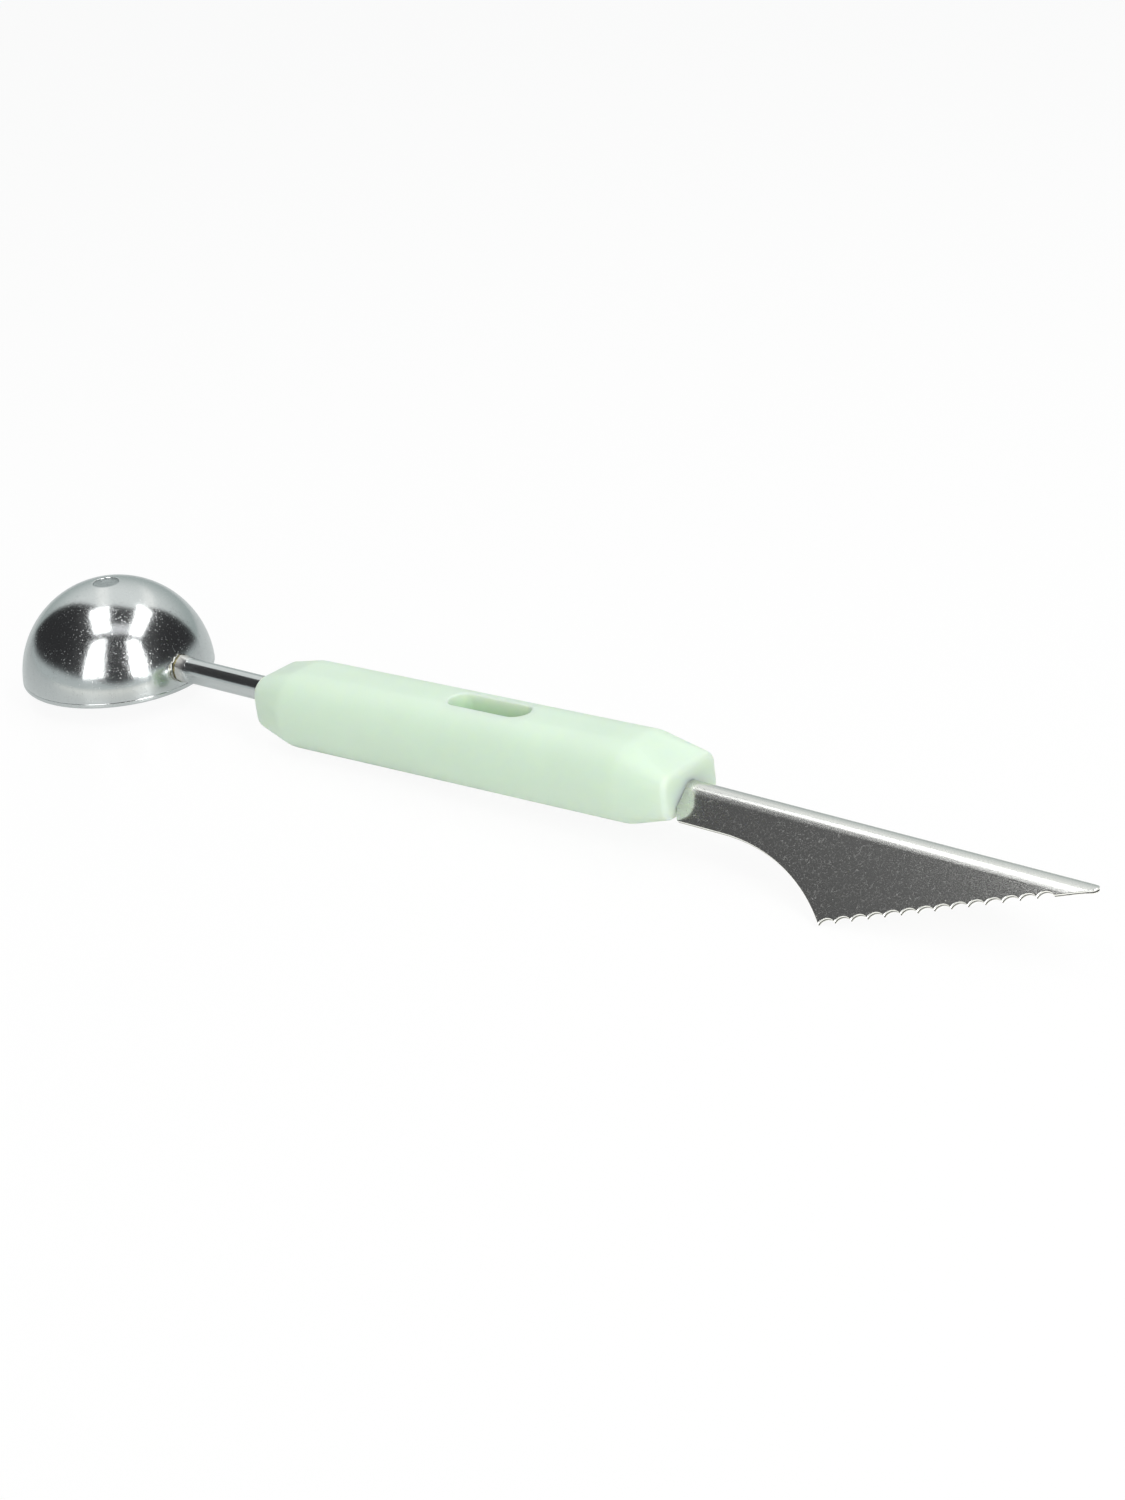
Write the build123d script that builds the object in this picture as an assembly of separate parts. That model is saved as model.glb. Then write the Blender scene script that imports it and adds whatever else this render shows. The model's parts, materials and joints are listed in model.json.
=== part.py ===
from build123d import *
import os
from math import asin, atan2, cos, degrees, radians, sin, tan

os.makedirs("parts", exist_ok=True)

# Scoop bowl
bowl_radius = 15.0
bowl_wall = 0.8
bowl_lip_round_share = 0.3
vent_diameter = 4.0
# The ball's centre lies this far under the handle's axis
bowl_drop = 1.44

# Rod between the bowl and the handle
rod_diameter = 3.8
rod_visible_length = 20.6
rod_rise_degrees = 1.54
# Height of the rod over the handle's axis where it enters the handle
rod_offset = 0.73
rod_tang_length = 27.0
rod_paddle_length = 7.0
rod_paddle_width = 5.4
rod_paddle_thickness = 2.2

# Weld bead round the rod's end on the bowl
bead_length = 1.5
bead_base_radius = 2.5
bead_tip_radius = 2.05

# Handle
handle_length = 76.9
handle_width = 14.5
handle_height = 11.9
handle_corner_radius = 5.6
scoop_face_width = 10.85
scoop_face_height = 7.76
scoop_face_lift = 0.54
scoop_face_corner_radius = 2.4
scoop_taper_length = 6.4
blade_face_width = 11.64
blade_face_height = 6.04
blade_face_corner_radius = 1.5
blade_taper_length = 7.9
shoulder_radius = 5.0
face_edge_radius = 0.9
moulding_gap = 0.02

# Hang slot through the handle
slot_start = 35.1
slot_length = 14.2
slot_width = 4.2
slot_rim_radius = 0.25

# Blade
sheet_thickness = 0.7
fold_radius = 2.0
wing_steepness_degrees = 49.7
blade_droop_degrees = 2.35
# Height of the blade's back over the handle's axis where it leaves the handle
back_offset = 0.84
blade_tang_length = 20.0
tang_wing_width = 3.1
root_wing_width = 4.8
# The wider part of each wing starts this far from the handle's face
root_clearance = 0.1
root_shoulder_run = 0.9
root_shoulder_radius = 0.4
belly_start = 8.5
belly_radius = 26.4
barb_distance = 27.75
edge_slope_degrees = 22.2
scallop_pitch = 2.24
scallop_depth = 0.68
scallop_count = 14
nose_radius = 0.3

# Run of every cut past the faces that it opens
overrun = 2.0


def bowl():
    """Half ball, open downwards, with its rim in the plane through the ball's centre."""
    outside = Sphere(bowl_radius, arc_size1=0, align=(Align.CENTER, Align.CENTER, Align.MIN))
    inside = Sphere(bowl_radius - bowl_wall)
    vent = Pos(0, 0, bowl_radius) * Cylinder(vent_diameter / 2, bowl_radius)
    shell = outside - inside - vent
    rim = shell.edges().group_by(Axis.Z)[0]
    return fillet(rim, bowl_wall * bowl_lip_round_share)


# Tool frame: X along the handle from the scoop to the blade, origin on the handle's axis over the ball's centre
handle_start = bowl_radius + rod_visible_length
handle_end = handle_start + handle_length
ball_place = Pos(0, 0, -bowl_drop)
rod_place = Pos(handle_start, 0, rod_offset) * Rot(0, rod_rise_degrees, 0)
blade_place = Pos(handle_end, 0, 0) * Rot(0, blade_droop_degrees, 0)


def rod_bar(start, length, radius):
    """Round bar along the rod's own axis, with its start measured from the handle's face."""
    return rod_place * Pos(start, 0, 0) * Cylinder(
        radius, length, rotation=(0, 90, 0), align=(Align.CENTER, Align.CENTER, Align.MIN)
    )


def rod_paddle(gap):
    """Flat pressed end of the rod's tang."""
    return rod_place * Pos(rod_tang_length - rod_paddle_length / 2, 0, 0) * Box(
        rod_paddle_length + 2 * gap, rod_paddle_width + 2 * gap, rod_paddle_thickness + 2 * gap
    )


def shank():
    """Rod from the bowl's outside to the flat end of its tang."""
    reach = rod_visible_length + bowl_radius
    bar = rod_bar(-reach, reach + rod_tang_length - rod_paddle_length / 2, rod_diameter / 2)
    return bar + rod_paddle(0) - ball_place * Sphere(bowl_radius)


def weld():
    """Bead that thins out along the rod, hollowed by the rod and by the bowl."""
    length = bead_length + bowl_radius
    widening = (bead_base_radius - bead_tip_radius) * length / bead_length
    cone = rod_place * Pos(bead_length - rod_visible_length, 0, 0) * Cone(
        bead_tip_radius + widening,
        bead_tip_radius,
        length,
        rotation=(0, 90, 0),
        align=(Align.CENTER, Align.CENTER, Align.MAX),
    )
    bar = rod_bar(-rod_visible_length - bowl_radius, 2 * bowl_radius + rod_visible_length, rod_diameter / 2)
    return cone - bar - ball_place * Sphere(bowl_radius)


# Blade frame: X along its back from the handle's face, Z up, on the handle's axis
steepness = radians(wing_steepness_degrees)
fold_centre_height = back_offset - fold_radius
edge_slope = radians(edge_slope_degrees)
belly_turn = asin((barb_distance - belly_start) / belly_radius)
barb_depth = root_wing_width + belly_radius * (1 - cos(belly_turn))
teeth_run = scallop_count * scallop_pitch
edge_end = barb_distance + barb_depth / tan(edge_slope)
nose_length = fold_radius * radians(90 - wing_steepness_degrees) / tan(edge_slope)


def wing_plane(gap):
    """Plane on the near wing's outside: X along the back, Y down the wing, Z into the sheet."""
    radius = fold_radius + gap
    return Plane(
        origin=(0, -radius * cos(steepness), fold_centre_height + radius * sin(steepness)),
        x_dir=(1, 0, 0),
        z_dir=(0, cos(steepness), -sin(steepness)),
    )


def wing_outline():
    """Flat outline of one wing with its tang, belly, barb, scallops and plain edge."""
    shoulder = (root_clearance + root_shoulder_run, root_wing_width)
    points = [
        (-blade_tang_length, 0),
        (-blade_tang_length, tang_wing_width),
        (root_clearance, tang_wing_width),
        shoulder,
        (belly_start, root_wing_width),
    ]
    belly = JernArc(points[-1], (1, 0), belly_radius, degrees(belly_turn))
    lines = [Line(a, b) for a, b in zip(points, points[1:])] + [belly]
    step = Vector(scallop_pitch * cos(edge_slope), -scallop_pitch * sin(edge_slope))
    tips = [belly @ 1 + step * i for i in range(scallop_count + 1)]
    lines += [SagittaArc(a, b, -scallop_depth) for a, b in zip(tips, tips[1:])]
    lines += [Line(tips[-1], (edge_end, 0)), Line((edge_end, 0), points[0])]
    face = make_face(lines)
    corner = face.vertices().sort_by_distance(Vector(*shoulder))[0]
    return fillet(corner, root_shoulder_radius)


def near_wing():
    return extrude(wing_plane(0) * wing_outline(), sheet_thickness)


def fold(start, end, gap):
    """Round back of the blade between two distances along it."""
    outer = fold_radius + gap
    inner = fold_radius - sheet_thickness - gap
    first = wing_steepness_degrees
    turn = 180 - 2 * wing_steepness_degrees
    centre = (0, fold_centre_height)
    over = CenterArc(centre, outer, first, turn)
    under = CenterArc(centre, inner, first, turn)
    face = make_face([over, under, Line(over @ 0, under @ 0), Line(over @ 1, under @ 1)])
    return Pos(start, 0, 0) * extrude(Plane.YZ * face, end - start)


def nose_cutter():
    """Block with the blade's pointed end seen from above, rounded at its tip."""
    half = fold_radius * cos(steepness)
    tip = (edge_end + nose_length, 0)
    points = [
        (-blade_tang_length - overrun, -fold_radius),
        (edge_end, -fold_radius),
        (edge_end, -half),
        tip,
        (edge_end, half),
        (edge_end, fold_radius),
        (-blade_tang_length - overrun, fold_radius),
    ]
    face = make_face(Polyline(*points, close=True))
    point = face.vertices().sort_by_distance(Vector(*tip))[0]
    return extrude(fillet(point, nose_radius), fold_radius * 2, both=True)


def blade():
    """Folded sheet: two wings and the round back between them."""
    wing = near_wing()
    back = fold(-blade_tang_length, edge_end + nose_length, 0) & nose_cutter()
    return blade_place * (back + wing + mirror(wing, about=Plane.XZ))


def blade_socket(gap):
    """Room for the blade's tang."""
    length = blade_tang_length + overrun + gap
    strip = Pos(-blade_tang_length - gap, 0) * Rectangle(
        length, tang_wing_width + gap, align=(Align.MIN, Align.MIN)
    )
    wing = extrude(wing_plane(gap) * strip, sheet_thickness + 2 * gap)
    back = fold(-blade_tang_length - gap, overrun, gap)
    return blade_place * (back + wing + mirror(wing, about=Plane.XZ))


def handle_section(x, lift, width, height, radius):
    """Rounded section of the handle at one distance from the scoop end."""
    return Plane(origin=(handle_start + x, 0, lift), x_dir=(0, 1, 0), z_dir=(1, 0, 0)) * RectangleRounded(
        width, height, radius
    )


def handle():
    """Grip with tapered ends, a slot to hang it by and a socket for each tang."""
    sections = [
        handle_section(0, scoop_face_lift, scoop_face_width, scoop_face_height, scoop_face_corner_radius),
        handle_section(scoop_taper_length, 0, handle_width, handle_height, handle_corner_radius),
        handle_section(handle_length - blade_taper_length, 0, handle_width, handle_height, handle_corner_radius),
        handle_section(handle_length, 0, blade_face_width, blade_face_height, blade_face_corner_radius),
    ]
    grip = loft(sections, ruled=True)
    for x in (handle_start + scoop_taper_length, handle_end - blade_taper_length):
        ring = grip.edges().filter_by_position(Axis.X, x - moulding_gap, x + moulding_gap)
        grip = fillet(ring, shoulder_radius)
    for x in (handle_start, handle_end):
        ring = grip.edges().filter_by_position(Axis.X, x - moulding_gap, x + moulding_gap)
        grip = fillet(ring, face_edge_radius)
    middle = handle_start + slot_start + slot_length / 2
    grip -= Pos(middle, 0, 0) * extrude(SlotOverall(slot_length, slot_width), handle_height, both=True)
    rims = grip.edges().filter_by_position(
        Axis.X, middle - slot_length / 2 - moulding_gap, middle + slot_length / 2 + moulding_gap
    )
    grip = fillet(rims.filter_by(lambda e: abs(e.center().Z) > handle_height / 4), slot_rim_radius)
    socket = rod_bar(-overrun, overrun + rod_tang_length - rod_paddle_length / 2, rod_diameter / 2 + moulding_gap)
    return grip - socket - rod_paddle(moulding_gap) - blade_socket(moulding_gap)


# The tool lies on the handle's underside, where the flat part starts, and on the two barbs
barb_inner_height = (
    fold_centre_height
    + fold_radius * sin(steepness)
    - barb_depth * cos(steepness)
    - sheet_thickness * sin(steepness)
)
barb_point = (blade_place * Pos(barb_distance, 0, barb_inner_height)).position
taper_drop = handle_height / 2 + scoop_face_lift - scoop_face_height / 2
taper_angle = atan2(taper_drop, scoop_taper_length)
flat_start = handle_start + scoop_taper_length + shoulder_radius * tan(taper_angle / 2)
rest_pitch = degrees(atan2(-handle_height / 2 - barb_point.Z, barb_point.X - flat_start))
rest_place = Rot(0, -rest_pitch, 0)

pieces = {
    "scoop_bowl": rest_place * ball_place * Rot(0, rest_pitch, 0) * bowl(),
    "scoop_weld": rest_place * weld(),
    "scoop_shank": rest_place * shank(),
    "handle": rest_place * handle(),
    "blade": rest_place * blade(),
}

# Row frame: origin on the floor under the middle of the tool's length
box = Compound(children=[solid for piece in pieces.values() for solid in piece.solids()]).bounding_box()
middle_place = Pos(-box.center().X, 0, -box.min.Z)

for name, piece in pieces.items():
    placed = middle_place * piece
    export_step(placed, f"parts/{name}.step")
    size = placed.bounding_box()
    print(name, len(placed.solids()), "solid", round(placed.volume, 2), "mm3", size.min, size.max)
ball_centre = (middle_place * rest_place * ball_place).position
print("rest pitch", round(rest_pitch, 3), "degrees; ball centre", ball_centre)
print("tool length", round(box.size.X, 2), "width", round(box.size.Y, 2), "height", round(box.size.Z, 2))
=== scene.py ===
import json
from math import acos, asin, atan2, cos, degrees, pi, radians, sin, tan

import bmesh
import bpy
from mathutils import Matrix, Vector


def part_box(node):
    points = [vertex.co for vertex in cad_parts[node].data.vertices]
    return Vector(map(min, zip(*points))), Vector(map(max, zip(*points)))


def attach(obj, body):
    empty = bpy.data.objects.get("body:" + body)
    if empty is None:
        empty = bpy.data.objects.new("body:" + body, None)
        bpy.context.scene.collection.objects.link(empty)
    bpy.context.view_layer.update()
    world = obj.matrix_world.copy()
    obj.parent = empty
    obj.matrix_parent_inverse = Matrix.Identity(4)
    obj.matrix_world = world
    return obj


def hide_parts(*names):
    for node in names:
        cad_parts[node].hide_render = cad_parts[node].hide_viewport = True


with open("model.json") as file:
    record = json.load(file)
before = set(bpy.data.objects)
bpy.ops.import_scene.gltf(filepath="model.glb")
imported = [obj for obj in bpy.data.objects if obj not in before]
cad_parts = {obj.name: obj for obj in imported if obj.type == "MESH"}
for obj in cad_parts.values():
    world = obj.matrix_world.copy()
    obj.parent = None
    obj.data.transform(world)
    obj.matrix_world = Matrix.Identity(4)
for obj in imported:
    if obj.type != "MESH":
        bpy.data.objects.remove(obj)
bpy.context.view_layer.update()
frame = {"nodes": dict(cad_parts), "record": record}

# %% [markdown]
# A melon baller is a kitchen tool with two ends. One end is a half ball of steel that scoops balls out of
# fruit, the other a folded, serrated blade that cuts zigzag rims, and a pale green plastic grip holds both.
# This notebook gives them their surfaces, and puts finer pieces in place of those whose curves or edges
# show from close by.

mm = 0.001

# %% [markdown]
# The tool lies slightly nose down on the table, so its pieces are easiest to think of along the grip
# itself. The record's hang slot gives one point on the grip's axis and the tilt, and a matrix carries grip
# distances to the table.

# %% The grip's own frame
slot_mount = next(m for m in frame["record"]["mounts"] if m["name"] == "hang_slot")
slot_axis = Vector(slot_mount["axis"]).normalized()
rest_pitch = atan2(-slot_axis.x, slot_axis.z)
grip_place = Matrix.Translation(Vector(slot_mount["pos_m"])) @ Matrix.Rotation(-rest_pitch, 4, "Y")
print("the grip leans by", round(degrees(rest_pitch), 3), "degrees")

# %% [markdown]
# A material is a net of nodes. Writing the net as sums is easier to read than wiring it by hand, so a small
# class stands for one socket and turns +, -, * and / into Math nodes.

# %% Node maths
class Wire:
    """An output of a node, which can be used in sums."""

    def __init__(self, net, socket):
        self.net = net
        self.socket = socket

    def maths(self, operation, *values):
        sockets = dict(enumerate(values))
        return self.net.node("ShaderNodeMath", {"operation": operation}, sockets)

    def __add__(self, other):
        return self.maths("ADD", self, other)

    def __radd__(self, other):
        return self.maths("ADD", other, self)

    def __sub__(self, other):
        return self.maths("SUBTRACT", self, other)

    def __rsub__(self, other):
        return self.maths("SUBTRACT", other, self)

    def __mul__(self, other):
        return self.maths("MULTIPLY", self, other)

    def __rmul__(self, other):
        return self.maths("MULTIPLY", other, self)

    def __truediv__(self, other):
        return self.maths("DIVIDE", self, other)

    def __rtruediv__(self, other):
        return self.maths("DIVIDE", other, self)

    def most(self, other):
        return self.maths("MAXIMUM", self, other)

    def least(self, other):
        return self.maths("MINIMUM", self, other)

    def size(self):
        return self.maths("ABSOLUTE", self)

    def step(self, low, high):
        """0 below low, 1 above high, and smooth between them."""
        settings = {"interpolation_type": "SMOOTHSTEP"}
        return self.net.node("ShaderNodeMapRange", settings, {0: self, 1: low, 2: high})


print("sums of wires ready")

# %% [markdown]
# The second class is the net itself. Its method node makes every node: it takes the node's type, then its
# settings, then the values or links of its sockets, because a setting can change the sockets. Colours and
# vectors have methods of their own, because a Math node works on single numbers.

# %% Nets of nodes
class Net:
    """The node tree of a material or of the world."""

    def __init__(self, owner):
        owner.use_nodes = True
        self.tree = owner.node_tree
        self.tree.nodes.clear()

    def node(self, kind, settings=None, sockets=None, out=0):
        """Adds a node: its settings first, then the values or links of its sockets."""
        made = self.tree.nodes.new(kind)
        for name, value in (settings or {}).items():
            if name == "stops":
                self.set_stops(made.color_ramp, value)
            else:
                setattr(made, name, value)
        for key, value in (sockets or {}).items():
            if isinstance(value, Wire):
                self.tree.links.new(value.socket, made.inputs[key])
            else:
                made.inputs[key].default_value = value
        return Wire(self, made.outputs[out]) if len(made.outputs) else made

    def set_stops(self, ramp, stops):
        while len(ramp.elements) < len(stops):
            ramp.elements.new(1.0)
        for element, (position, colour) in zip(ramp.elements, stops):
            element.position = position
            element.color = (*colour, 1.0)

    def mix(self, factor, first, second):
        """Colour between two colours."""
        return self.node("ShaderNodeMix", {"data_type": "RGBA"}, {0: factor, 6: first, 7: second}, out=2)

    def vectors(self, operation, first, second):
        """A number from two vectors, such as their dot product or their distance."""
        settings = {"operation": operation}
        return self.node("ShaderNodeVectorMath", settings, {0: first, 1: second}, out="Value")

    def output(self, kind, shader):
        self.node(kind, {}, {"Surface": shader})


print("nets of nodes ready")

# %% [markdown]
# The photographer stood in front of the blade side, a little above the tool, with a long lens, so the near
# blade looks larger than the far scoop. The camera's place and its three turns are written in the table's
# frame.

# %% Camera
camera_place = Vector((257.567, -284.343, 180.113)) * mm
camera_heading = radians(41.0309)
camera_tilt = radians(65.6007)
camera_roll = radians(-5.1441)
lens = bpy.data.cameras.new("camera")
lens.sensor_fit = "HORIZONTAL"
lens.sensor_width = 36.0
lens.lens = 96.0
lens.clip_start = 0.01
camera = bpy.data.objects.new("camera", lens)
bpy.context.scene.collection.objects.link(camera)
turns = Matrix.Rotation(camera_heading, 4, "Z") @ Matrix.Rotation(camera_tilt, 4, "X")
camera.matrix_world = Matrix.Translation(camera_place) @ turns @ Matrix.Rotation(camera_roll, 4, "Z")
bpy.context.scene.camera = camera
bpy.context.scene.view_settings.view_transform = "Standard"
print("camera", round(camera_place.length, 3), "m from the origin")

# %% [markdown]
# Steel has hardly a colour of its own: it shows the room. The scoop is a round mirror, and in it stand a
# white table, a white wall behind the tool, softboxes in front and overhead, and darkness for the rest. The
# far parts of that room could be modelled, but they throw no shadow on the tool. So they are painted on the
# world's background, as sums of the direction from the tool. First come the directions and the helpers for
# them.

# %% Directions in the room
room_turn = radians(48.5)
wall_turn = radians(144.0)
edge_softness = 0.06
least_height = 0.1


def turned(angle):
    """Level direction at an angle from the front, counted towards +X."""
    return Vector((sin(angle), -cos(angle), 0.0))


towards_camera = turned(room_turn)
to_the_right = turned(room_turn + pi / 2)
towards_wall = turned(-wall_turn)
along_wall = turned(-wall_turn + pi / 2)

world = bpy.data.worlds.new("room")
bpy.context.scene.world = world
net = Net(world)
direction = net.node("ShaderNodeTexCoord", out="Generated")


def part_along(axis):
    """How far the seen direction goes along an axis."""
    return net.vectors("DOT_PRODUCT", direction, axis)


def positive(value):
    """1 where a value is above 0, with the soft edge of something far away."""
    return value.step(-edge_softness, edge_softness)


def near(value, middle, inner, outer):
    """1 up to the inner distance from the middle, and 0 from the outer one on."""
    return 1 - (value - middle).size().step(inner, outer)


height = part_along(Vector((0, 0, 1)))
ahead = part_along(towards_camera)
aside = part_along(to_the_right)
sideways = aside / height.most(least_height)
forwards = ahead / height.most(least_height)
print("directions ready")

# %% [markdown]
# The wall and the ceiling it runs into fill the upper part of the scoop's mirror. They are grey-green low
# down and nearly white overhead, where two soft stripes of light lie on them. All round the wall the room
# is dark.

# %% White wall
wall_half_width = tan(radians(45.0))
wall_top = 0.28
wall_low = (0.44, 0.50, 0.49)
wall_high = (0.93, 0.96, 0.95)
stripe_colour = (1.25, 1.25, 1.22)
stripe_strength = 0.8
room_dark = (0.036, 0.036, 0.038)

depth = part_along(towards_wall)
across = part_along(along_wall)
white_wall = positive(depth * wall_half_width - across.size()) * positive(depth - height * wall_top)
wall_colour = net.mix(height.step(0.0, 0.8), (*wall_low, 1), (*wall_high, 1))
left_stripe = near(sideways, middle=-0.1, inner=0.02, outer=0.16)
right_stripe = near(sideways, middle=0.74, inner=0.05, outer=0.24)
stripes = left_stripe.most(right_stripe) * height.step(0.3, 0.7) * stripe_strength
wall_colour = net.mix(stripes, wall_colour, (*stripe_colour, 1))
shade = net.mix(white_wall, (*room_dark, 1), wall_colour)
print("white wall behind the tool, dark in front")

# %% [markdown]
# Two more pale things show in the scoop: a card that hangs between the ceiling lamps, and the table. The
# table's far rim stands highest to both sides and is cut low in the middle, where the photographer stood.
# The camera itself sees plain white in place of the room, like the cut-out ground of a product picture.

# %% Card, table rim and background
card_colour = (0.86, 0.86, 0.88)
rim_highest = 0.22
rim_middle = 0.1
rim_ahead = 0.15
rim_left = 0.09
rim_sides = 0.5
table_shine = (0.58, 0.63, 0.63)

card = near(forwards, middle=0.33, inner=0.08, outer=0.16)
card = card * near(sideways, middle=0.12, inner=0.15, outer=0.3)
shade = net.mix(card * height.step(0.5, 0.7), shade, (*card_colour, 1))
rim = rim_middle + ahead * rim_ahead + (aside * -rim_left).most(0.0)
rim = rim.least(rim_highest).least(rim_middle + aside * aside * rim_sides)
far_table = (1 - positive(height - rim)) * (1 - white_wall * height.step(-0.1, 0.1))
shade = net.mix(far_table, shade, (*table_shine, 1))
paths = net.node("ShaderNodeLightPath", out="Is Camera Ray")
seen_colour = net.mix(paths, shade, (1, 1, 1, 1))
backdrop = net.node("ShaderNodeBackground", {}, {"Color": seen_colour, "Strength": 1.0})
net.output("ShaderNodeOutputWorld", backdrop)
print("room painted with", len(net.tree.nodes), "nodes")

# %% [markdown]
# Four softboxes light the tool. A softbox is a lamp behind a stretched white cloth, so an area lamp is the
# plain choice for it: it gives soft shadows, and steel shows its outline. The helper takes the brightness
# of the cloth, because the steel shows that, and works out the lamp's power: 4 watts to a square metre are
# white.

# %% Softbox helper
scoop_low, scoop_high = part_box("scoop_bowl")
ball_centre = Vector(((scoop_low.x + scoop_high.x) / 2, 0, scoop_low.z))
watts_for_white = 4


def softbox(name, centre, facing, up, width, height, light):
    """Area lamp of a size in metres, with its cloth as bright as light, where 1 is white."""
    cloth = bpy.data.lights.new(name, "AREA")
    cloth.shape = "RECTANGLE"
    cloth.size = width
    cloth.size_y = height
    cloth.energy = watts_for_white * width * height * light
    lamp = bpy.data.objects.new(name, cloth)
    bpy.context.scene.collection.objects.link(lamp)
    back = -facing.normalized()
    side = up.cross(back).normalized()
    turn = Matrix((side, back.cross(side), back)).transposed().to_4x4()
    lamp.matrix_world = Matrix.Translation(centre) @ turn
    lamp.visible_camera = False
    return lamp


print("scoop's middle, mm:", [round(x / mm, 2) for x in ball_centre])

# %% [markdown]
# Two softboxes stand upright left and right of the camera. In the scoop they are the two lower white
# fields. Their edges are given as seen from the scoop, as shares of the distance, because they were read
# from its mirror.

# %% Softboxes in front
front_distance = 0.5


def front_box(name, left, right, low, high, lean, light):
    """Upright softbox between shares of its distance, leaning to the right by so many degrees."""
    side = (left + right) / 2
    rise = (low + high) / 2
    centre = ball_centre + front_distance * (towards_camera + to_the_right * side + Vector((0, 0, rise)))
    up = Vector((0, 0, 1)) * cos(radians(lean)) + to_the_right * sin(radians(lean))
    size = ((right - left) * front_distance, (high - low) * front_distance)
    return softbox(name, centre, -towards_camera, up, *size, light)


front_box("softbox_left", left=-0.95, right=-0.33, low=0.29, high=1.88, lean=0, light=2.6)
front_box("softbox_right", left=0.37, right=0.76, low=0.2, high=1.5, lean=8.9, light=4.9)
print("two softboxes in front")

# %% [markdown]
# Two more hang flat over the tool and light the top of the grip. They are the upper white fields in the
# scoop, and the left one is also the white band along the blade's back.

# %% Softboxes overhead
ceiling_height = 0.46


def ceiling_box(name, left, right, back, front, turn, light):
    """Flat softbox overhead between shares of its height, turned to the left by so many degrees."""
    side = (left + right) / 2
    reach = (back + front) / 2
    forward = turned(room_turn - radians(turn))
    sideward = turned(room_turn - radians(turn) + pi / 2)
    centre = ball_centre + ceiling_height * (Vector((0, 0, 1)) + sideward * side + forward * reach)
    size = ((right - left) * ceiling_height, (front - back) * ceiling_height)
    return softbox(name, centre, Vector((0, 0, -1)), -forward, *size, light)


ceiling_box("softbox_over_left", left=-0.36, right=-0.04, back=-0.24, front=0.38, turn=4, light=3.2)
ceiling_box("softbox_over_right", left=0.41, right=0.73, back=-0.46, front=0.42, turn=10, light=3.0)
print("two softboxes overhead")

# %% [markdown]
# The table is a wide, slightly glossy white sheet that takes the tool's shadow. Under these lamps it would
# render as pale grey, so the camera sees it mixed with an even white glow. Steel sees part of that glow
# too, brighter in front of the tool, where the softboxes shine on the table, than behind it.

# %% Table
table_radius = 4.0
table_colour = (0.93, 0.93, 0.92)
table_roughness = 0.28
table_lift = 0.92
table_lift_in_steel = 0.55
shine_in_front = (1.22, 1.22, 1.14)
shine_edge = (-0.06, 0.04)

bm = bmesh.new()
bmesh.ops.create_circle(bm, cap_ends=True, segments=64, radius=table_radius)
table_mesh = bpy.data.meshes.new("table")
bm.to_mesh(table_mesh)
bm.free()
table_top = bpy.data.objects.new("table", table_mesh)
bpy.context.scene.collection.objects.link(table_top)

sheet_finish = bpy.data.materials.new("white_table")
net = Net(sheet_finish)
surface = {"Base Color": (*table_colour, 1), "Roughness": table_roughness}
plain = net.node("ShaderNodeBsdfPrincipled", {}, surface)
seen_directly = net.node("ShaderNodeLightPath", out="Is Camera Ray")
seen_in_steel = net.node("ShaderNodeLightPath", out="Is Glossy Ray")
place = net.node("ShaderNodeTexCoord", out="Object")
in_front = net.vectors("DOT_PRODUCT", place, towards_camera)
shine = net.mix(in_front.step(*shine_edge), (*table_shine, 1), (*shine_in_front, 1))
glow_colour = net.mix(seen_directly, shine, (1, 1, 1, 1))
glow = net.node("ShaderNodeEmission", {}, {"Color": glow_colour, "Strength": 1.0})
share = seen_directly * table_lift + seen_in_steel * table_lift_in_steel
net.output("ShaderNodeOutputMaterial", net.node("ShaderNodeMixShader", {}, {0: share, 1: plain, 2: glow}))
table_mesh.materials.append(sheet_finish)
print("table", table_radius, "m in radius")

# %% [markdown]
# Polished steel is never a perfect mirror. Dust and tiny pits scatter the light into bright points, and the
# polishing wheel leaves hair lines. They could be modelled, but they are far finer than the piece, so they
# are patterns in the material, read from the place on the piece. First come the helpers that the steels
# share.

# %% Surface patterns
def pattern_place(net, per_mm, shift=(0, 0, 0), turn=(0, 0, 0)):
    """Place on the piece in pattern sizes: how many to a millimetre along each axis."""
    coordinates = net.node("ShaderNodeTexCoord", out="Object")
    moved = net.node("ShaderNodeMapping", {}, {"Vector": coordinates, "Location": shift, "Rotation": turn})
    scale = tuple(rate / mm for rate in per_mm)
    return net.node("ShaderNodeMapping", {}, {"Vector": moved, "Scale": scale})


def even(rate):
    """The same number of pattern sizes to a millimetre along all three axes."""
    return (rate, rate, rate)


def noise(net, place, detail=3.0, roughness=0.5):
    sockets = {"Vector": place, "Scale": 1.0, "Detail": detail, "Roughness": roughness}
    return net.node("ShaderNodeTexNoise", {}, sockets)


def specks(net, place, share, radius):
    """Small round marks: 1 inside a mark. Only this share of the cells has one."""
    cells = {"Vector": place, "Scale": 1.0}
    distance = net.node("ShaderNodeTexVoronoi", {}, cells, out="Distance")
    colour = net.node("ShaderNodeTexVoronoi", {}, cells, out="Color")
    chance = net.node("ShaderNodeSeparateColor", {}, {"Color": colour}, out="Red")
    size = net.node("ShaderNodeSeparateColor", {}, {"Color": colour}, out="Green")
    mark = 1 - distance.step(radius * 0.4, radius * (0.6 + size))
    return mark * chance.step(1 - share - 0.01, 1 - share + 0.01)


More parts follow.
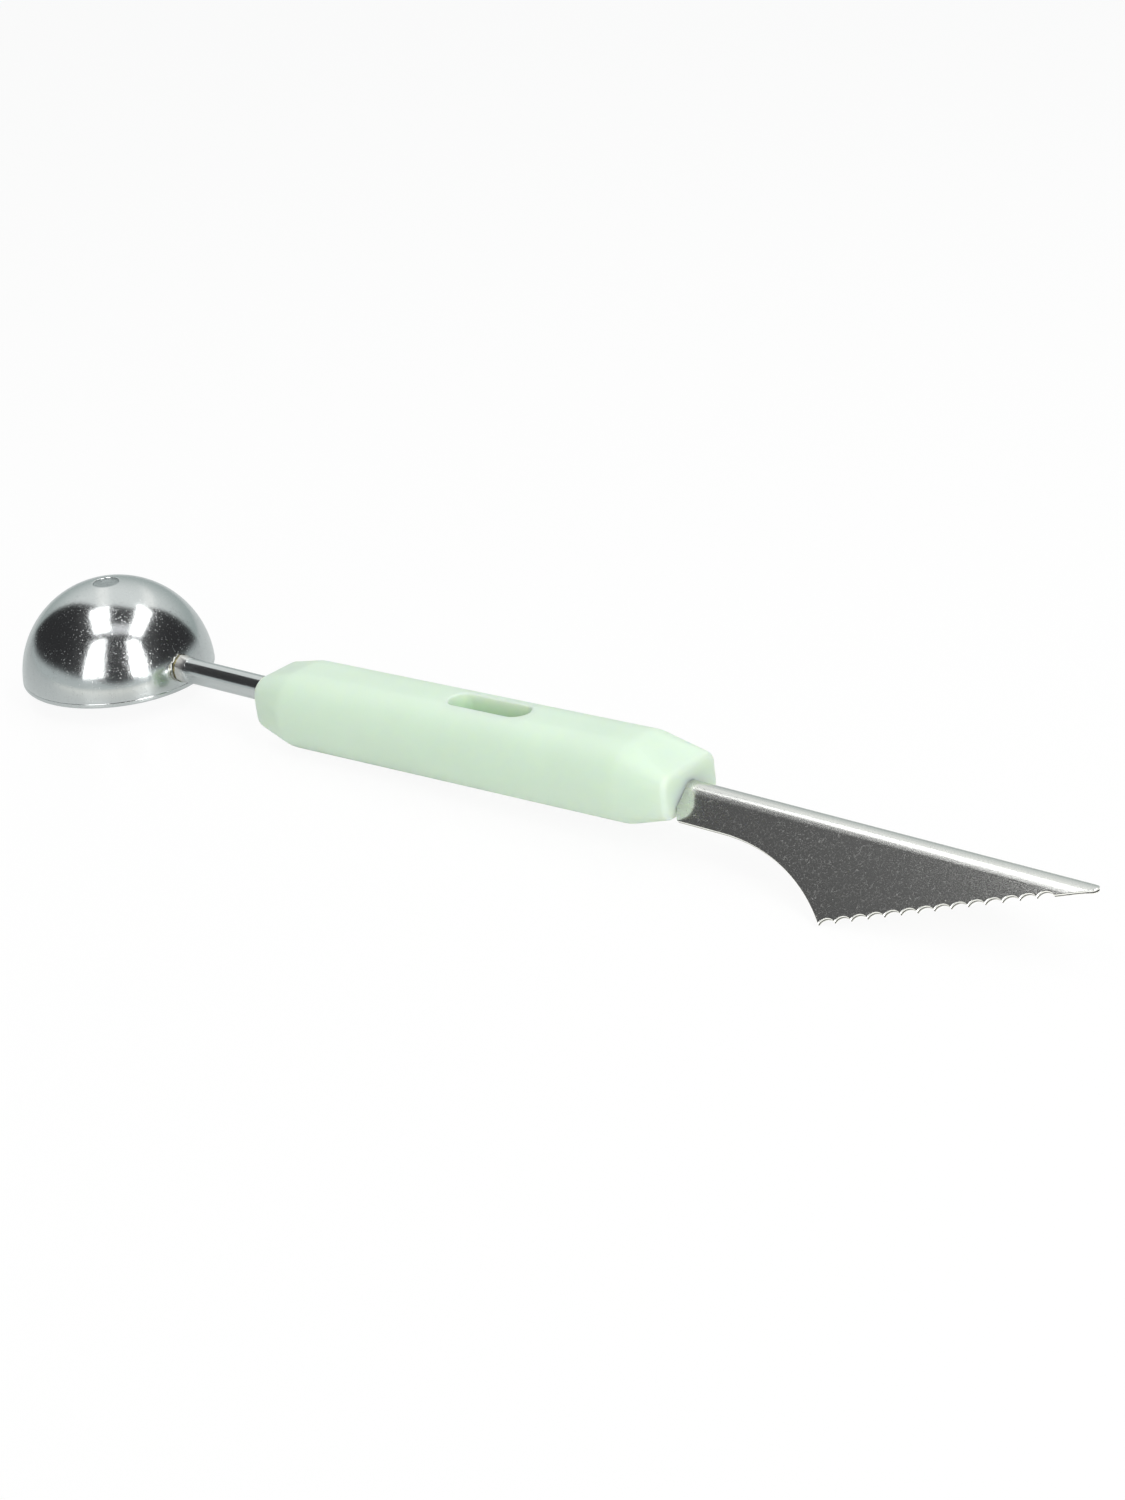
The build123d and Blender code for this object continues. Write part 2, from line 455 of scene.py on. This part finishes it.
def scratches(net, place, width, share):
    """Short curved hair lines: 1 on a line. A coarser noise leaves this share of them."""
    line = 1 - (noise(net, place, detail=1.0) - 0.5).size().step(width * 0.5, width)
    coarser = net.node("ShaderNodeMapping", {}, {"Vector": place, "Scale": even(2.3)})
    return line * noise(net, coarser, detail=1.0).step(0.68 - share * 0.4, 0.7 - share * 0.4)


print("patterns ready")

# %% [markdown]
# A worn polish reflects in two ways at once: most of it mirrors clearly, and the marks blur what they
# catch. One roughness can't do both, so each steel mixes a clear metal with a blurred one by a share of
# haze. Bumps of a few hundredths of a millimetre at most bend the reflections, and attributes of the mesh
# tell a finish where its piece differs.

# %% Steel helpers
def bump(net, height, distance, strength=1.0, normal=None):
    """Normal bent by a height, where the distance in mm is the height of a full step."""
    sockets = {"Height": height, "Distance": distance * mm, "Strength": strength}
    if normal is not None:
        sockets["Normal"] = normal
    return net.node("ShaderNodeBump", {}, sockets)


def marked(net, name):
    """Value that the piece's mesh carries under a name."""
    return net.node("ShaderNodeAttribute", {"attribute_name": name}, out="Fac")


def two_lobes(net, name, colour, sharp, broad, haze, normal):
    """Steel with a clear reflection and, by the share of haze, a blurred one over it."""
    layers = []
    for roughness in (sharp, broad):
        sockets = {"Metallic": 1.0, "Base Color": colour, "Roughness": roughness, "Normal": normal}
        layers.append(net.node("ShaderNodeBsdfPrincipled", {}, sockets))
    both = net.node("ShaderNodeMixShader", {}, {0: haze, 1: layers[0], 2: layers[1]})
    net.output("ShaderNodeOutputMaterial", both)
    print("finish", name)


print("steel helpers ready")

# %% [markdown]
# The scoop is pressed from sheet and polished to a mirror. Its finish is smooth with bright points in
# drifts, and the wheel went up and down the ball, so the hair lines run from the rim to the vent hole. The
# patterns are turned off the axes, so that no row of points follows the ball. The inner wall and the vent
# hole get a brighter colour, painted light for the table's light that reaches them under the rim, so their
# faces carry a mark.

# %% Scoop finish
steel_colour = (0.63, 0.65, 0.65)
# Painted light: the inner wall and the vent hole are this much brighter than the outside.
inner_painted_light = (0.82, 0.84, 0.84)


def mirror_steel():
    material = bpy.data.materials.new("polished_steel")
    net = Net(material)
    centre = tuple(-ball_centre)
    dust = specks(net, pattern_place(net, even(2.4), centre, (0.5, 0.3, 0.8)), share=0.3, radius=0.22)
    fine_dust = specks(net, pattern_place(net, even(3.4), centre, (0.9, 0.6, 0.2)), share=0.5, radius=0.25)
    drift = noise(net, pattern_place(net, even(0.25), centre), detail=2.0).step(0.4, 0.6)
    lines = noise(net, pattern_place(net, (3.0, 3.0, 0.1), centre), detail=3.0)
    wave = noise(net, pattern_place(net, even(0.16), centre), detail=1.0)
    marks = (dust + fine_dust * (0.25 + drift * 0.75)).least(1.0)
    normal = bump(net, wave, distance=0.05, strength=0.5)
    normal = bump(net, lines, distance=0.006, normal=normal)
    normal = bump(net, marks, distance=0.01, normal=normal)
    # The inner faces get the brighter colour: painted light.
    colour = net.mix(marked(net, "inside"), (*steel_colour, 1), (*inner_painted_light, 1))
    sharp = 0.15 + lines.step(0.4, 0.75) * 0.04
    haze = 0.018 + lines.step(0.45, 0.8) * 0.03 + marks * 0.85
    two_lobes(net, "polished steel", colour, sharp=sharp, broad=0.33, haze=haze, normal=normal)
    return material


scoop_finish = mirror_steel()

# %% [markdown]
# The weld tells how hot each place became. Against the ball the steel is dull, then a dark olive ring and a
# gold one follow, and the slim flare stays cream and matt until the rod's own steel begins. The colours
# follow the distance from the ball's middle, so a ramp along that distance holds them all.

# %% Weld finish
ball_radius = 15.0
heated_reach = 2.8
heat_colours = [
    (0.0, (0.42, 0.42, 0.40)),
    (0.1, (0.45, 0.45, 0.42)),
    (0.125, (0.06, 0.055, 0.035)),
    (0.165, (0.12, 0.10, 0.055)),
    (0.195, (0.52, 0.46, 0.20)),
    (0.22, (0.14, 0.12, 0.07)),
    (0.25, (0.20, 0.18, 0.12)),
    (0.285, (0.70, 0.69, 0.65)),
    (0.6, (0.70, 0.69, 0.67)),
    (0.92, steel_colour),
]


def weld_steel():
    material = bpy.data.materials.new("weld_steel")
    net = Net(material)
    place = net.node("ShaderNodeTexCoord", out="Object")
    middle = net.vectors("DISTANCE", place, ball_centre)
    ripple = noise(net, pattern_place(net, even(1.5)), detail=3.0)
    rise = (middle / mm - ball_radius + (ripple - 0.5) * 0.2) / heated_reach
    colour = net.node("ShaderNodeValToRGB", {"stops": heat_colours}, {"Fac": rise})
    uneven = noise(net, pattern_place(net, even(2.0)), detail=1.0) * (1 - rise.step(0.2, 0.8))
    normal = bump(net, uneven, distance=0.04, strength=0.7)
    dull = rise.step(0.12, 0.3) * (1 - rise.step(0.5, 0.85))
    haze = 0.14 + ripple * 0.1 + dull * 0.6
    two_lobes(net, "weld steel", colour, sharp=0.13, broad=0.42, haze=haze, normal=normal)
    return material


weld_finish = weld_steel()

# %% [markdown]
# The rod is drawn through a die, which leaves straight lines along it. The noise is stretched along X to
# give them, and a few points of dust lie over it.

# %% Rod finish
def rod_steel():
    material = bpy.data.materials.new("rod_steel")
    net = Net(material)
    dust = specks(net, pattern_place(net, even(3.0)), share=0.3, radius=0.2)
    lines = noise(net, pattern_place(net, (0.15, 6.0, 6.0)), detail=3.0)
    normal = bump(net, lines, distance=0.006)
    sharp = 0.1 + lines.step(0.4, 0.8) * 0.06
    haze = 0.12 + dust * 0.4
    two_lobes(net, "rod steel", (*steel_colour, 1), sharp=sharp, broad=0.4, haze=haze, normal=normal)
    return material


rod_finish = rod_steel()

# %% [markdown]
# The blade is rolled sheet with a fine grain along it, full of specks and short scratches of a brighter tone.
# The mesh marks three places for the finish. Both rims of the cut get a painted highlight and the band
# between them painted shade. Folding stretches the back, whose polish turns duller there.

# %% Blade finish
blade_colour = (0.635, 0.64, 0.62)
# Brighter tone of the specks and scratches, and painted highlight on both rims of the cut.
marks_and_painted_highlight = (0.9, 0.9, 0.88)
# Painted shade: the band between the rims of the cut is painted nearly black.
painted_cut_shade = (0.06, 0.06, 0.06)


def blade_steel():
    material = bpy.data.materials.new("blade_steel")
    net = Net(material)
    dust = specks(net, pattern_place(net, even(1.8)), share=0.12, radius=0.11)
    fine_dust = specks(net, pattern_place(net, even(3.8)), share=0.14, radius=0.22)
    hair = scratches(net, pattern_place(net, even(1.0)), width=0.012, share=0.4)
    more_hair = scratches(net, pattern_place(net, even(1.6), (0.1, 0, 0)), width=0.018, share=0.5)
    grain = noise(net, pattern_place(net, (1.2, 7.0, 7.0)), detail=4.0, roughness=0.6)
    worn = noise(net, pattern_place(net, even(0.06)), detail=1.0).step(0.3, 0.7)
    marks = (dust + (fine_dust * 0.5 + (hair + more_hair) * 0.35) * (0.65 + worn * 0.35)).least(1.0)
    sheared = marked(net, "sheared")
    # Specks and scratches get their brighter tone; the rims of the cut get a painted highlight.
    colour = net.mix(marks.most(sheared), (*blade_colour, 1), (*marks_and_painted_highlight, 1))
    # The band between the rims of the cut is painted dark: painted shade.
    colour = net.mix(marked(net, "torn"), colour, (*painted_cut_shade, 1))
    normal = bump(net, grain, distance=0.003)
    sharp = 0.11 + marked(net, "stretched") * 0.13
    haze = 0.13 + marks * 0.6 + sheared * 0.3
    two_lobes(net, "blade steel", colour, sharp=sharp, broad=0.45, haze=haze, normal=normal)
    return material


blade_finish = blade_steel()

# %% [markdown]
# The grip is moulded in a pale mint plastic with a satin skin. A little light goes into it and comes out
# again, which keeps the shaded side and the walls of the slot bright and slightly yellow. A plain colour
# would leave them grey, so the plastic has subsurface scattering.

# %% Grip finish
mint_colour = (0.69, 0.84, 0.69)
deeper_share = 0.97
light_depth = 4.0


def mint_plastic():
    material = bpy.data.materials.new("handle_plastic")
    net = Net(material)
    cloud = noise(net, pattern_place(net, even(0.08)), detail=2.0)
    skin = noise(net, pattern_place(net, even(5.0)), detail=2.0)
    deeper = tuple(deeper_share * value for value in mint_colour)
    sockets = {
        "Base Color": net.mix(cloud.step(0.3, 0.7), (*deeper, 1), (*mint_colour, 1)),
        "Roughness": 0.42 + cloud * 0.08,
        "Normal": bump(net, skin, distance=0.012, strength=0.6),
        "Subsurface Weight": 0.85,
        "Subsurface Radius": (1.0, 0.95, 0.7),
        "Subsurface Scale": light_depth * mm,
    }
    net.output("ShaderNodeOutputMaterial", net.node("ShaderNodeBsdfPrincipled", {}, sockets))
    print("finish mint plastic")
    return material


grip_finish = mint_plastic()

# %% [markdown]
# The solids of the rod and the grip already have the right curves, so they stay and only get their
# finishes.

# %% Rod and grip
frame["nodes"]["scoop_shank"].data.materials[0] = rod_finish
frame["nodes"]["handle"].data.materials[0] = grip_finish
print("rod and grip keep their solids")

# %% [markdown]
# A piece made here is a bmesh until it is right. Then it becomes an object at the origin, rides with the
# tool and takes the place of its plain solid. It is shaded smooth except across sharp edges, and a face
# larger than flat_area, in square mm, stays flat: the blade's wings would look swollen otherwise.

# %% From bmesh to piece
def finish_piece(bm, name, material, node, sharp_degrees=40, flat_area=100.0):
    bmesh.ops.remove_doubles(bm, verts=bm.verts, dist=1e-4 * mm)
    bmesh.ops.recalc_face_normals(bm, faces=bm.faces)
    mesh = bpy.data.meshes.new(name)
    bm.to_mesh(mesh)
    bm.free()
    mesh.set_sharp_from_angle(angle=radians(sharp_degrees))
    for face in mesh.polygons:
        face.use_smooth = face.area < flat_area * mm ** 2
    mesh.materials.append(material)
    piece = bpy.data.objects.new(name, mesh)
    bpy.context.scene.collection.objects.link(piece)
    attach(piece, "root")
    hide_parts(node)
    low, high = piece.bound_box[0], piece.bound_box[6]
    print(name, len(mesh.polygons), "faces, mm:", [round((b - a) / mm, 2) for a, b in zip(low, high)])
    return piece


def arc(centre, radius, start, end, steps):
    """Points on a round stretch, in degrees from the first axis towards the second."""
    turns = [radians(start + (end - start) * i / steps) for i in range(steps + 1)]
    return [(centre[0] + radius * cos(turn), centre[1] + radius * sin(turn)) for turn in turns]


def spun(bm, section, centre, axis, steps):
    """Closed section of points turned once round an axis."""
    corners = [bm.verts.new(point) for point in section]
    rails = [bm.edges.new(pair) for pair in zip(corners, corners[1:] + corners[:1])]
    bmesh.ops.spin(
        bm, geom=corners + rails, cent=centre, axis=axis, angle=2 * pi, steps=steps, use_merge=True
    )


print("piece helpers ready")

# %% [markdown]
# The scoop is a shell of one wall. Its section runs from the rounded lip up the outside, over a fine groove
# that the press leaves above the lip, to the punched vent hole, down the hole's rounded edge and back along
# the inside. A sphere cut in half would have no lip, so the section is drawn and will be spun.

# %% Section of the scoop
wall = 0.8
lip_round = 0.3
groove_height = 0.8
groove_radius = 0.16
groove_turn = 52
vent_radius = 2.0
vent_round = 0.12
outside_steps = 60
inside_steps = 56
lip_steps = 6


def slope_at(distance, radius):
    """Degrees over the rim at which a ball's surface is so far from its axis."""
    return degrees(acos(distance / radius))


def slope_up(rise, radius):
    """Degrees over the rim at which a ball's surface is so high."""
    return degrees(asin(rise / radius))


def shell_section():
    """Section of the bowl as distances from the axis and heights over the rim."""
    inner = ball_radius - wall
    vent_reach = vent_radius + vent_round
    outside_top = slope_at(vent_reach, ball_radius)
    inside_top = slope_at(vent_reach, inner)
    groove_half = groove_radius * sin(radians(groove_turn))
    groove_low = slope_up(groove_height - groove_half, ball_radius)
    groove_top = slope_up(groove_height + groove_half, ball_radius)
    groove_middle = (ball_radius + groove_radius * cos(radians(groove_turn)), groove_height)
    points = arc((0, 0), ball_radius, slope_up(lip_round, ball_radius), groove_low, 3)
    points += arc(groove_middle, groove_radius, 180 + groove_turn, 180 - groove_turn, 6)[1:-1]
    points += arc((0, 0), ball_radius, groove_top, outside_top, outside_steps)
    top, bottom = points[-1][1], inner * sin(radians(inside_top))
    points += arc((vent_reach, top - vent_round), vent_round, 90, 180, 4)[1:]
    points += arc((vent_reach, bottom + vent_round), vent_round, 180, 270, 4)
    points += arc((0, 0), inner, inside_top, slope_up(lip_round, inner), inside_steps)[1:]
    points += arc((inner + lip_round, lip_round), lip_round, 180, 270, lip_steps)[1:]
    return points + arc((ball_radius - lip_round, lip_round), lip_round, 270, 360, lip_steps)[:-1]


print(len(shell_section()), "points in the scoop's section")

# %% [markdown]
# One full spin of the section round the ball's axis makes the bowl. The faces of the inner wall and of the
# vent hole are marked, so that the finish can paint them brighter than the outside, as painted light.

# %% Scoop bowl
bowl_steps = 224


def is_inside(face):
    """True on the inner wall and in the vent hole."""
    middle = (face.calc_center_median() - ball_centre) / mm
    return middle.length < ball_radius - wall / 2 or middle.xy.length < vent_radius + vent_round / 2


def scoop_bowl():
    bm = bmesh.new()
    section = [Vector((distance, 0, rise)) * mm + ball_centre for distance, rise in shell_section()]
    spun(bm, section, ball_centre, (0, 0, 1), bowl_steps)
    inside = bm.faces.layers.float.new("inside")
    for face in bm.faces:
        face[inside] = float(is_inside(face))
    return finish_piece(bm, "bowl_shell", scoop_finish, "scoop_bowl")


scoop_bowl()

# %% [markdown]
# The rod is welded to the bowl with a small bead of melted steel: a rounded collar against the ball, a
# groove, and a slim flare that fades into the rod. Its section is spun round the rod, and then each point
# slides along the rod until the bead's base lies on the ball. Slow waves make it uneven, as by hand.

# %% Weld bead
rod_turn = Matrix.Rotation(radians(1.54), 4, "Y")
rod_place = grip_place @ Matrix.Translation(Vector((-42.2, 0, 0.73)) * mm) @ rod_turn
rod_radius = 1.9
bead_reach = 2.7
bead_radius = 2.14
bead_end = 0.03
bead_steps = 96
wave_across = 0.6
bead_rises = [0, 0.2, 0.36, 0.44, 0.52, 0.64, 0.9, 1.3, 1.7, 2.2, bead_reach]
bead_swells = [1.0, 0.96, 0.9, 0.7, 0.8, 0.86, 0.78, 0.6, 0.42, 0.22, 0.07]


def ball_surface(y, z):
    """Distance along the rod, in mm, of the ball's outside at one place beside the rod's axis."""
    heart = (rod_place.inverted() @ ball_centre) / mm
    return heart.x + (ball_radius ** 2 - (y - heart.y) ** 2 - (z - heart.z) ** 2) ** 0.5


def bead_wave(turn, x):
    """Slow unevenness round the bead, as a share: 3, 7 and 13 waves to a turn."""
    return 0.05 * sin(3 * turn + 0.8) + 0.04 * sin(7 * turn + 2.0) + 0.02 * sin(13 * turn + 2.5 * x)


def weld_bead():
    bm = bmesh.new()
    height = bead_radius - rod_radius
    profile = [(0.0, rod_radius)]
    profile += [(x, rod_radius + height * swell) for x, swell in zip(bead_rises, bead_swells)]
    profile += [(bead_reach + bead_end, rod_radius)]
    spun(bm, [(x, 0, radius) for x, radius in profile], (0, 0, 0), (1, 0, 0), bead_steps)
    for vert in bm.verts:
        x, y, z = vert.co
        wave = bead_wave(atan2(y, z), x)
        spread = 1 + wave * (vert.co.yz.length - rod_radius) / height * wave_across
        y, z = y * spread, z * spread
        vert.co = rod_place @ (Vector((ball_surface(y, z) + x * (1 + wave), y, z)) * mm)
    return finish_piece(bm, "weld_bead", weld_finish, "scoop_weld", sharp_degrees=60)


weld_bead()

# %% [markdown]
# The blade is made as it is in the factory: cut flat, then folded. The flat blank is drawn on one side of
# the fold with its tang, its hollow belly, its barb and the row of scallops, and it ends in a plain edge
# and a round nose. Cutting it flat keeps every scallop true on both wings.

# %% Sizes of the blank
sheet = 0.7
fold_radius = 2.0
half_turn = radians(40.3)
fold_width = fold_radius * half_turn
tang_length = 20.0
tang_width = 3.1
root_gap = 0.1
root_width = 4.8
root_run = 0.9
root_round = 0.4
belly_start = 8.5
belly_radius = 26.4
barb_distance = 27.75
edge_slope = radians(22.2)
scallop_pitch = 2.24
scallop_depth = 0.68
scallops = 14
nose_radius = 1.0
swing = degrees(asin((barb_distance - belly_start) / belly_radius))
barb_depth = root_width + belly_radius * (1 - cos(radians(swing)))
print("barb", round(barb_depth, 2), "mm below the fold")

# %% [markdown]
# The outline follows from those sizes. Each scallop is a shallow arc over one pitch of the slanted edge,
# and the next one starts where it ends, so the row needs no list of points.

# %% Blade blank
def scallop(start):
    """Points of one scallop that starts at a point of the slanted edge."""
    radius = (scallop_pitch / 2) ** 2 / (2 * scallop_depth) + scallop_depth / 2
    spread = degrees(asin(scallop_pitch / 2 / radius))
    middle = start + Vector((cos(edge_slope), -sin(edge_slope))) * scallop_pitch / 2
    heart = middle + Vector((sin(edge_slope), cos(edge_slope))) * (radius - scallop_depth)
    upwards = 270 - degrees(edge_slope)
    return arc(heart, radius, upwards - spread, upwards + spread, 10)[1:]


def blank_edge():
    """Free edge of half the blank from tang to nose: distances along the fold and across from it."""
    base = fold_width + root_width
    points = [(-tang_length, 0), (-tang_length, fold_width + tang_width), (root_gap, fold_width + tang_width)]
    slope = atan2(root_width - tang_width, root_run)
    corner = root_gap + root_run + root_round * tan(slope / 2)
    points += arc((corner, base - root_round), root_round, 90 + degrees(slope), 90, 6)
    points += arc((belly_start, base + belly_radius), belly_radius, -90, -90 + swing, 28)
    for _ in range(scallops):
        points += scallop(Vector(points[-1]))
    edge_end = barb_distance + barb_depth / tan(edge_slope)
    tip = edge_end + fold_width / tan(edge_slope)
    centre = (tip - nose_radius / sin(edge_slope), 0)
    return points + arc(centre, nose_radius, 90 - degrees(edge_slope), 0, 6)


half_edge = blank_edge()
print(len(half_edge), "points round half the blank")

# %% [markdown]
# The fold wraps round its radius and eases out into the wings, as sheet does in a press. The turn at each
# distance from the fold's middle is known, so adding up small steps in that direction gives the place.

# %% Fold
back_height = 0.84
ease_width = 0.8
fold_end = fold_width + ease_width / 2
fold_steps = 40


def fold_turn(across):
    """Angle of the sheet so far from the fold's middle: a plain radius that eases out into the wing."""
    ease_start = fold_width - ease_width / 2
    late = min(max(across - ease_start, 0.0), ease_width)
    return (min(across, ease_start) + late * (1 - late / ease_width / 2)) / fold_radius


def bent(place):
    """Place of a point of the flat blank after folding. Its height says how deep in the sheet it lies."""
    x, across, down = place.x, abs(place.y), -place.z
    side = 1 if place.y >= 0 else -1
    run = min(across, fold_end) / fold_steps
    turns = [fold_turn(run * (i + 0.5)) for i in range(fold_steps)]
    beyond, last = max(across - fold_end, 0.0), fold_turn(across)
    y = run * sum(cos(turn) for turn in turns) + beyond * cos(last) - down * sin(last)
    z = run * sum(sin(turn) for turn in turns) + beyond * sin(last) + down * cos(last)
    return Vector((x, side * y, back_height - z))


print("wings turned by", round(degrees(fold_turn(fold_end)), 2), "degrees")

# %% [markdown]
# The blank gets the thickness of the sheet in three layers, so that its cut has a band of painted shade
# between two of painted highlight, and a bevel rounds the rims of the cut. The faces of the cut are marked
# for the finish while the blank is still flat.

# %% Cut blank
rim_round = 0.12
# Depths in the sheet between which the cut is painted dark, as painted shade.
painted_shade_from = 0.22
painted_shade_to = 0.46
layer_depths = (painted_shade_from, painted_shade_to - painted_shade_from, sheet - painted_shade_to)
lying_flat = 0.9
same_height = 0.01


def on_rim(edge):
    """True for an edge in the sheet's upper or lower face."""
    heights = [vert.co.z for vert in edge.verts]
    return min(heights) > -same_height or max(heights) < same_height - sheet


def cut_blank():
    bm = bmesh.new()
    outline = half_edge[1:] + [(x, -y) for x, y in reversed(half_edge[1:-1])]
    blank = bm.faces.new([bm.verts.new((x, y, 0)) for x, y in outline])
    bmesh.ops.recalc_face_normals(bm, faces=[blank])
    for depth in layer_depths:
        pulled = bmesh.ops.extrude_face_region(bm, geom=[blank])
        low = [item for item in pulled["geom"] if isinstance(item, bmesh.types.BMVert)]
        blank = next(item for item in pulled["geom"] if isinstance(item, bmesh.types.BMFace))
        bmesh.ops.translate(bm, verts=low, vec=(0, 0, -depth))
    rims = [edge for edge in bm.edges if on_rim(edge)]
    bmesh.ops.bevel(bm, geom=rims, offset=rim_round, segments=3, affect="EDGES", profile=0.5, material=-1)
    bm.normal_update()
    sheared = bm.faces.layers.float.new("sheared")
    torn = bm.faces.layers.float.new("torn")
    # The rims of the cut are marked for painted highlight, the band between them for painted shade.
    for face in bm.faces:
        if abs(face.normal.z) < lying_flat:
            middle = -face.calc_center_median().z
            face[torn if painted_shade_from < middle < painted_shade_to else sheared] = 1.0
    return bm


print("layers of the cut, mm:", [round(depth, 2) for depth in layer_depths])

# %% [markdown]
# Now the blank is folded. A flat face can't bend, so lines are cut along the fold first, and a little
# beyond it, where the stretched steel turns back to polish. Then each point goes to its place on the folded
# blade.

# %% Folded blade
blade_turn = Matrix.Rotation(radians(2.35), 4, "Y")
blade_place = grip_place @ Matrix.Translation(Vector((34.7, 0, 0)) * mm) @ blade_turn
fold_lines = 40
stretch_fade = 0.35
stretch_end = fold_end + stretch_fade


def blade():
    bm = cut_blank()
    for i in range(fold_lines + 1):
        across = stretch_end * (2 * i / fold_lines - 1)
        parts = bm.verts[:] + bm.edges[:] + bm.faces[:]
        bmesh.ops.bisect_plane(bm, geom=parts, dist=1e-5, plane_co=(0, across, 0), plane_no=(0, 1, 0))
    stretched = bm.verts.layers.float.new("stretched")
    for vert in bm.verts:
        vert[stretched] = min(max((stretch_end - abs(vert.co.y)) / stretch_fade, 0.0), 1.0)
        vert.co = blade_place @ (bent(vert.co) * mm)
    return finish_piece(
        bm, "folded_blade", blade_finish, "blade", sharp_degrees=14, flat_area=20.0
    )


blade()
